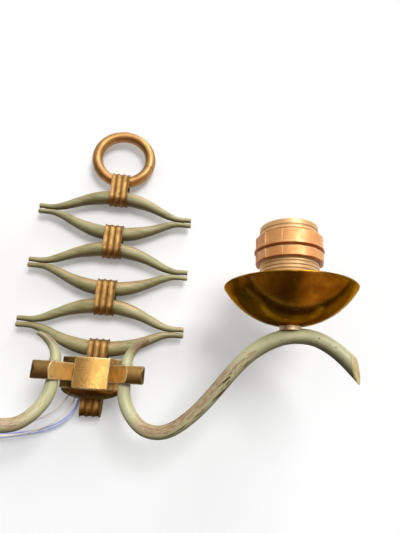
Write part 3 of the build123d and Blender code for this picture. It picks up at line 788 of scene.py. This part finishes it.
# %% [markdown]
# ## Green lacquer on the arms: rubbed places
#
# Where the arms were held, the lacquer is rubbed to a red-brown ground: along the front from the
# bend up the rising part, and in streaks at the free tip. The free tip is also darker olive all
# over. Each kind of wear is one window along the arm, times one side of the tube, times streaky
# noise. Painting these masks
# by hand would look as good, but only on one arm at a time.

# %% Arm lacquer: rubbed places
def window(value, rise_from, rise_to, fall_from, fall_to):
    """A mask that rises, stays and falls again between four places, given in mm."""
    rise = between(tree, value, rise_from * MM, rise_to * MM)
    return times(tree, rise, between(tree, value, fall_to * MM, fall_from * MM))


GROUND, DARK_GROUND, TIP_OLIVE = paint(168, 126, 98), paint(134, 92, 64), paint(126, 110, 70)
streaks = blotches(tree, streak, 520.0, 0.34, 0.60, seed=4.0)
fine_streaks = blotches(tree, streak, 1300.0, 0.40, 0.60, seed=9.0)
rub = times(tree, window(reach, 3, 18, 60, 88), between(tree, front, 0.0, 0.4))
rub = times(tree, rub, between(tree, upper_left, -0.62, 0.05))
rub = times(tree, rub, between(tree, height, 16 * MM, 4 * MM))
streaky = plus(tree, scaled(tree, streaks, 0.26, 0.36), times(tree, fine_streaks, 0.32))
rub = times(tree, rub, streaky)
tip = times(tree, between(tree, height, 11 * MM, 21 * MM), between(tree, reach, 24 * MM, 18 * MM))
tip_rub = times(tree, tip, blotches(tree, streak, 300.0, 0.50, 0.60, seed=8.0), 0.8)
rubbed = maths(tree, "MINIMUM", plus(tree, rub, tip_rub), 1.0)
colour = cover(tree, colour, TIP_OLIVE, tip, 0.8)
colour = cover(tree, colour, blend(tree, fine_streaks, GROUND, DARK_GROUND), rubbed)
print("rubbed places with", len(tree.nodes), "nodes")

# %% [markdown]
# ## Green lacquer on the arms: flakes, specks and scratches
#
# Flakes that came off whole are nearly black and lie along the lower side of the rising part.
# Small specks cover the crest, and a few long scratches show an orange undercoat. Towards the cut
# end the arm turns away from the light, and there it gets painted shade. Shut-in places get grime
# and painted shade.

# %% Arm lacquer: flakes, specks and scratches
CHIP, SCRATCH, END_SHADE, ARM_GRIME_AND_SHADE = (
    paint(86, 54, 30), paint(166, 112, 80), paint(92, 82, 54), paint(92, 62, 34),
)
flakes = blotches(tree, streak, 360.0, 0.56, 0.585, seed=12.0)
flake_zone = times(tree, window(reach, 26, 40, 76, 92), between(tree, upper_left, 0.15, -0.15))
flake_zone = times(tree, flake_zone, between(tree, front, 0.1, 0.4))
specks = blotches(tree, place, 520.0, 0.64, 0.665, seed=6.0)
speck_zone = plus(tree, window(reach, 60, 110, 146, 149), 0.12)
chips = larger(tree, times(tree, flakes, flake_zone), times(tree, specks, speck_zone))
scratches = blotches(tree, streak, 230.0, 0.62, 0.65, seed=21.0)
scratches = times(tree, scratches, between(tree, front, -0.3, 0.3))
# painted shade towards the cut end, strongest on the underside
shaded_end = times(tree, between(tree, reach, 112 * MM, 142 * MM), plus(tree, below, 0.35))
colour = cover(tree, colour, CHIP, chips)
colour = cover(tree, colour, SCRATCH, scratches, 0.7)
colour = cover(tree, colour, END_SHADE, shaded_end, 0.8)
# grime and painted shade in shut-in places
colour = cover(tree, colour, ARM_GRIME_AND_SHADE, grime_and_shade_in_corners(tree, place, 4 * MM, 1.0), 0.7)
rough = plus(tree, 0.42, times(tree, rubbed, 0.22))
relief = minus(tree, times(tree, noise(tree, streak, 900.0), 0.4), times(tree, chips, 1.6))
relief = minus(tree, relief, times(tree, rubbed, 0.6))
dress(tree, shader, colour, rough, relief, 0.04 * MM)
finish["arm_lacquer"] = material
print("arm lacquer has", len(tree.nodes), "nodes")

# %% [markdown]
# ## The cut ends
#
# Each tube is closed by a disc that was never lacquered. It looks like bone: cream, with fine
# brown specks and a stained rim. Two sizes of blotches and the edge mask are enough for it.

# %% Cut-end finish
CREAM, STAINED_CREAM = paint(214, 194, 140), paint(186, 160, 108)
END_SPECK, END_RIM = paint(150, 116, 74), paint(166, 122, 76)
material, tree, shader, place = start_material("cut end")
grain = blotches(tree, place, 700.0, 0.5, 0.7)
stain = blotches(tree, place, 190.0, 0.42, 0.66, seed=3.0)
colour = blend(tree, stain, CREAM, STAINED_CREAM)
colour = cover(tree, colour, END_SPECK, grain, 0.45)
colour = cover(tree, colour, END_RIM, rubbed_edges(tree, place, 0.7 * MM, 0.4), 0.5)
dress(tree, shader, colour, scaled(tree, stain, 0.15, 0.55), grain)
end_finish = material
print("cut end has", len(tree.nodes), "nodes")


# %% [markdown]
# ## The lampholders
#
# The thread and cap are gold-coloured plastic, and the two shade rings are a more orange one.
# Their colour is a metallic pigment in a clear skin. Full metal would look like brass, and no
# metal at all like paint, so the surface is part metal, with tiny flakes and a thin clear coat.
# The thread's roots and the gaps between the rings are darkened as dirt and painted shade, and the
# edges are given a paler painted highlight.

# %% Gold plastics
FLAKE_GLINT, EDGE_HIGHLIGHT = paint(255, 226, 170), paint(255, 226, 178)


def gold_plastic(name, light, usual, dirt_and_shade, metal, smooth):
    skin = {"Metallic": metal, "Coat_Weight": 0.15, "Coat_Roughness": 0.3}
    material, tree, shader, place = start_material(name, **skin)
    cloud = blotches(tree, place, 130.0, 0.34, 0.68)
    flakes = blotches(tree, place, 2600.0, 0.46, 0.64)
    corner_grime_and_shade = grime_and_shade_in_corners(tree, place, 1.8 * MM, 1.4)
    colour = blend(tree, cloud, paint(*light), paint(*usual))
    colour = cover(tree, colour, FLAKE_GLINT, flakes, 0.22)
    # dirt and painted shade in the thread's roots and between the rings
    colour = cover(tree, colour, paint(*dirt_and_shade), corner_grime_and_shade, 0.75)
    # painted highlight along the edges
    colour = cover(tree, colour, EDGE_HIGHLIGHT, rubbed_edges(tree, place, 0.4 * MM, 0.4), 0.75)
    rough = scaled(tree, cloud, 0.12, smooth)
    dress(tree, shader, colour, rough, plus(tree, flakes, cloud), 0.012 * MM)
    return material


finish["gold_plastic"] = gold_plastic(
    "gold plastic", (232, 188, 128), (214, 164, 102), (62, 34, 16), metal=0.38, smooth=0.38,
)
finish["orange_gold_plastic"] = gold_plastic(
    "orange gold plastic", (240, 168, 98), (224, 146, 76), (50, 25, 12), metal=0.35, smooth=0.36,
)
print("plastics:", [m.name for m in finish.values() if "plastic" in m.name])


# %% [markdown]
# ## Small parts
#
# The ceramic insert is off-white with a glaze, the sleeve dark and dull, and the wires are thin
# coloured insulation, each a little uneven. All are darker in shut-in corners, as grime and
# painted shade. They differ only in colour, gloss and grain, so one helper makes them all.

# %% Ceramic, sleeve and wires
def soft_finish(name, light, dark, smooth, grain, glaze=0.0):
    material, tree, shader, place = start_material(name, Coat_Weight=glaze)
    cloud = blotches(tree, place, grain, 0.35, 0.65)
    corner_grime_and_shade = grime_and_shade_in_corners(tree, place, 2 * MM, 0.6)
    colour = blend(tree, cloud, paint(*light), paint(*dark))
    # grime and painted shade in shut-in corners
    colour = cover(tree, colour, paint(*[level * 0.5 for level in dark]), corner_grime_and_shade, 0.4)
    rough = scaled(tree, cloud, 0.15, smooth)
    dress(tree, shader, colour, rough, noise(tree, place, grain * 8.0), 0.01 * MM)
    return material


finish["insert_ceramic"] = soft_finish(
    "glazed ceramic", (238, 234, 222), (218, 212, 196), smooth=0.25, grain=90.0, glaze=0.4,
)
finish["dark_sleeve"] = soft_finish(
    "dark sleeve", (66, 48, 46), (44, 30, 30), smooth=0.6, grain=300.0,
)
for wire, light, dark in (
    ("pink", (255, 248, 244), (255, 234, 226)),
    ("blue", (206, 212, 255), (176, 184, 250)),
    ("wire", (214, 178, 176), (168, 158, 196)),
):
    finish[wire + "_insulation"] = soft_finish(
        wire + " insulation", light, dark, smooth=0.4, grain=240.0, glaze=0.2,
    )
print("finishes:", len(finish))

# %% [markdown]
# ## Dressing the pieces
#
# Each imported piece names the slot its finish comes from. A few pieces get a version of their
# own: the hub, the ears, the hanging ring and the cut ends.

# %% Put the finishes on
own_finish = {
    "hub_shell": hub_brass, "hub_back_cover": hub_brass, "right_ear": ear_brass,
    "left_ear": ear_brass, "hanging_ring": ring_brass, "right_arm_end_plug": end_finish,
    "left_arm_end_plug": end_finish,
}
for name, piece in nodes.items():
    slot_name = piece.material_slots[0].material.name.split(".")[0]
    coat = own_finish[name] if name in own_finish else finish[slot_name]
    piece.material_slots[0].material = coat
print("dressed", len(nodes), "pieces")

# %% [markdown]
# ## The four leads: where they run
#
# The leads leave a bush at the back of the hub in a square of four and hang free to the left.
# Each one has its place in that square, the depth at which it turns out of the bush, its length
# and its route, all in millimetres, through the same places as in the model.

# %% Routes of the leads
BUSH = Vector((-11.2, -12.4, -6.0))
WIRE_PACK = 0.62
leads = {
    "pink_lead_upper": ((-1, -1), -7.2, 106.3, [
        (-15.2, -6.4, -12.6), (-18.9, -7.2, -18.8), (-24.2, -8.0, -25.8), (-33.2, -8.4, -32.2),
        (-46.5, -8.6, -37.4), (-63.0, -8.2, -40.6), (-82.0, -7.4, -41.6), (-100.0, -7.0, -40.6),
    ]),
    "pink_lead_lower": ((-1, 1), -5.8, 96.4, [
        (-11.2, -5.4, -12.6), (-12.4, -7.4, -18.6), (-16.4, -8.6, -25.0), (-22.0, -9.0, -32.4),
        (-32.0, -9.2, -38.9), (-46.0, -9.0, -43.4), (-63.0, -8.6, -45.6), (-80.0, -8.2, -45.0),
    ]),
    "blue_lead_front": ((1, -1), -7.4, 100.6, [
        (-9.4, -6.7, -13.6), (-10.0, -6.6, -20.4), (-13.6, -6.4, -28.4), (-21.5, -6.2, -35.0),
        (-33.5, -6.3, -39.8), (-49.0, -6.2, -42.6), (-67.0, -6.0, -43.4), (-84.0, -5.6, -41.8),
    ]),
    "blue_lead_rear": ((1, 1), -5.4, 105.1, [
        (-9.1, -4.7, -13.4), (-9.5, -4.5, -20.8), (-13.0, -4.4, -29.6), (-21.0, -4.5, -36.8),
        (-33.4, -4.4, -41.6), (-48.0, -4.2, -44.4), (-66.0, -4.0, -47.2), (-83.0, -3.8, -51.4),
    ]),
}
print("leads:", {name: lead[2] for name, lead in leads.items()}, "mm long")


# %% [markdown]
# ## The four leads: wires
#
# A wire could be a chain of cylinders or a swept mesh. It is drawn as one NURBS curve with a
# round bevel, which stays smooth in its bends and is easy to pull about. It ends in a few
# millimetres of bare copper, set into the end of the insulation.

# %% Draw the leads
WIRE_RADIUS = 0.55 * MM
BARE_RADIUS = 0.32 * MM
BARE_LENGTH = 4.0 * MM
BARE_CENTRE = BARE_LENGTH * 0.45


def wire_curve(name, points):
    curve = bpy.data.curves.new(name, "CURVE")
    curve.dimensions = "3D"
    curve.resolution_u = 12
    curve.bevel_depth = WIRE_RADIUS
    curve.bevel_resolution = 4
    curve.use_fill_caps = True
    spline = curve.splines.new("NURBS")
    spline.points.add(len(points) - 1)
    for point, place in zip(spline.points, points):
        point.co = (*(place * MM), 1.0)
    spline.order_u = 3
    spline.use_endpoint_u = True
    wire = bpy.data.objects.new(name, curve)
    bpy.context.scene.collection.objects.link(wire)
    return wire


def bare_wire_end(name, points):
    heading = (points[-1] - points[-2]).normalized()
    bpy.ops.mesh.primitive_cylinder_add(vertices=16, radius=BARE_RADIUS, depth=BARE_LENGTH)
    bare_end = bpy.context.object
    bare_end.name = name
    turn = heading.to_track_quat("Z", "Y").to_matrix().to_4x4()
    bare_end.matrix_world = Matrix.Translation(points[-1] * MM + heading * BARE_CENTRE) @ turn
    bare_end.data.materials.append(copper)
    bare_end.data.shade_smooth()
    return bare_end


for name, ((side, height), turn_y, length, route) in leads.items():
    start = Vector((BUSH.x + side * WIRE_PACK, BUSH.y, BUSH.z + height * WIRE_PACK))
    points = [start, Vector((start.x, turn_y, start.z))] + [Vector(p) for p in route]
    wire = wire_curve(name + "_wire", points)
    colour_slot = name.split("_")[0] + "_insulation"
    wire.data.materials.append(finish[colour_slot])
    bare_end = bare_wire_end(name + "_bare_end", points)
    for piece, slot_name in ((wire, colour_slot), (bare_end, "contact_brass")):
        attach(piece, "frame")
    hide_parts(name)
    print(name, "drawn through", len(points), "points")


# %% [markdown]
# ## The room
#
# The wall lies just behind the lamp's back and the floor well below. A transparent background
# would be quicker, but then the lamp would cast no shadow. To the camera both panels add a glow
# of their own, so the background is white while the soft shadow stays in their diffuse share.
# Seen from behind, the wall is clear, so the back of the lamp can be looked at too. The floor
# sends no light up, because the undersides in the photograph are dark.

# %% Wall and floor
def flat_panel(name, centre, facing, width, height, material):
    bpy.ops.mesh.primitive_plane_add(size=1.0)
    panel = bpy.context.object
    panel.name = name
    panel.scale = (width, height, 1.0)
    panel.rotation_mode = "QUATERNION"
    panel.rotation_quaternion = Vector(facing).to_track_quat("Z", "Y")
    panel.location = centre
    panel.data.materials.append(material)
    return panel


def seen_or_mirrored(tree):
    """1 for rays from the eye, from gloss or through glass, 0 for rays that light a surface."""
    ray = put(tree, "ShaderNodeLightPath").outputs
    mirrored = larger(tree, ray["Is Glossy Ray"], ray["Is Transmission Ray"])
    return larger(tree, ray["Is Camera Ray"], mirrored)


WHITE = (1.0, 1.0, 1.0, 1.0)
ROOM_GREY = paint(230, 230, 230)
ROOM_SIZE = 6.0
WALL_GLOW, FLOOR_GLOW = 0.18, 0.10
WALL_PLACE, FLOOR_PLACE = (0, 0.6 * MM, 0.1), (0, -2.0, -0.9)


def room_material(name, glow):
    material = bpy.data.materials.new(name)
    material.use_nodes = True
    tree = material.node_tree
    tree.nodes.clear()
    strength = times(tree, seen_or_mirrored(tree), glow)
    plain = put(tree, "ShaderNodeBsdfDiffuse", {"Color": ROOM_GREY}).outputs[0]
    light = put(tree, "ShaderNodeEmission", {"Color": WHITE, "Strength": strength}).outputs[0]
    both = put(tree, "ShaderNodeAddShader", {0: plain, 1: light}).outputs[0]
    clear = put(tree, "ShaderNodeBsdfTransparent").outputs[0]
    behind = put(tree, "ShaderNodeNewGeometry").outputs["Backfacing"]
    surface = put(tree, "ShaderNodeMixShader", {0: behind, 1: both, 2: clear}).outputs[0]
    put(tree, "ShaderNodeOutputMaterial", {"Surface": surface})
    return material


wall_paint = room_material("wall paint", WALL_GLOW)
wall = flat_panel("wall", WALL_PLACE, (0, -1, 0), ROOM_SIZE, ROOM_SIZE, wall_paint)
floor_paint = room_material("floor paint", FLOOR_GLOW)
floor = flat_panel("floor", FLOOR_PLACE, (0, 0, 1), ROOM_SIZE, ROOM_SIZE, floor_paint)
floor.visible_diffuse = False
print("stage:", wall.name, "and", floor.name)


# %% [markdown]
# ## Light
#
# Three broad suns light the lamp: a key from the upper right in front, a top light that falls
# steeply down the wall, and a weak fill from the lower left. Area lamps would do too, but their
# light falls off over such a short distance. The world is white for the camera and for
# reflections, and only a gentle fill from above for surfaces.

# %% Suns and world
def sun(name, travels, strength, spread):
    data = bpy.data.lights.new(name, "SUN")
    data.energy = strength
    data.angle = math.radians(spread)
    lamp = bpy.data.objects.new(name, data)
    lamp.rotation_mode = "QUATERNION"
    lamp.rotation_quaternion = (-Vector(travels)).to_track_quat("Z", "Y")
    bpy.context.scene.collection.objects.link(lamp)


sun("key", travels=(-0.25, 0.90, -0.42), strength=2.0, spread=28)
sun("top light", travels=(-0.25, 0.35, -0.90), strength=1.1, spread=30)
sun("fill", travels=(0.5, 0.8, 0.15), strength=0.4, spread=60)
FILL_FROM_BELOW, FILL_FROM_ABOVE = 0.06, 0.50
world = bpy.data.worlds.new("studio")
bpy.context.scene.world = world
world.use_nodes = True
tree = world.node_tree
tree.nodes.clear()
upward = split(tree, put(tree, "ShaderNodeTexCoord").outputs["Generated"])["Z"]
overhead = between(tree, upward, -0.5, 0.6)
fill_light = scaled(tree, overhead, FILL_FROM_ABOVE - FILL_FROM_BELOW, FILL_FROM_BELOW)
strength = larger(tree, seen_or_mirrored(tree), fill_light)
air = put(tree, "ShaderNodeBackground", {"Color": WHITE, "Strength": strength}).outputs[0]
put(tree, "ShaderNodeOutputWorld", {"Surface": air})


# %% [markdown]
# ## Cards for the brass to mirror
#
# Brass looks like brass only when it has something dark or warm to mirror, and in a white room it
# would look like cream. So cards stand round the lamp, seen by reflections alone: behind the
# camera and beside it, a bright panel and strip for the highlights on hub and holders, and three
# low ones in front of the wall, which the dishes mirror in their undersides. Below the lamp lies
# a row of cards, darkest in the middle and brightest on the right, as on the photographed dish.

# %% Cards
def card(name, centre, facing, width, height, colour, strength):
    material = bpy.data.materials.new(name)
    material.use_nodes = True
    tree = material.node_tree
    tree.nodes.clear()
    glow = put(tree, "ShaderNodeEmission", {"Color": paint(*colour), "Strength": strength})
    put(tree, "ShaderNodeOutputMaterial", {"Surface": glow.outputs[0]})
    panel = flat_panel(name, centre, facing, width, height, material)
    panel.visible_camera = False
    panel.visible_diffuse = False
    panel.visible_shadow = False
    panel.visible_transmission = False
    return panel


INTO_ROOM, INTO_WALL, UP = (0, -1, 0), (0, 1, 0), (0, 0.1, 1)
BELOW_EDGES = (-1.3, -0.42, -0.26, -0.12, 0.16, 0.24, 0.34, 1.7)
BELOW_STRENGTHS = (0.55, 0.42, 0.27, 0.15, 0.42, 0.9, 1.5)
cards = [
    card("card behind the camera", (-0.55, -1.6, -0.35), (0.2, 1, 0.1), 2.2, 1.7,
         (140, 120, 98), 0.75),
    card("card in front on the right", (0.95, -1.4, -0.35), (-0.5, 1, 0.1), 1.5, 1.7,
         (120, 100, 78), 0.6),
]
for left, right, glow in zip(BELOW_EDGES, BELOW_EDGES[1:], BELOW_STRENGTHS):
    centre = ((left + right) / 2, -0.755, -0.5)
    cards.append(card("card below", centre, UP, right - left, 1.5, (196, 160, 114), glow))
cards += [
    card("dark card at the foot of the wall", (0.1, -0.004, -0.30), INTO_ROOM, 2.8, 0.40,
         (70, 54, 40), 0.6),
    card("olive card left of the dish", (-0.57, -0.004, -0.035), INTO_ROOM, 1.46, 0.13,
         (104, 102, 72), 1.0),
    card("brown card right of the dish", (0.68, -0.004, -0.035), INTO_ROOM, 1.04, 0.13,
         (160, 148, 126), 1.0),
    card("bright panel", (0.10, -1.25, 0.05), INTO_WALL, 0.30, 1.5, (255, 240, 212), 1.0),
    card("bright strip", (-0.07, -1.2, 0.05), INTO_WALL, 0.06, 1.5, (255, 248, 226), 6.0),
    card("dark card left", (-1.3, -0.5, 0.1), (1, 0.4, 0), 1.4, 1.6, (70, 54, 40), 0.5),
]
print("cards:", len(cards))
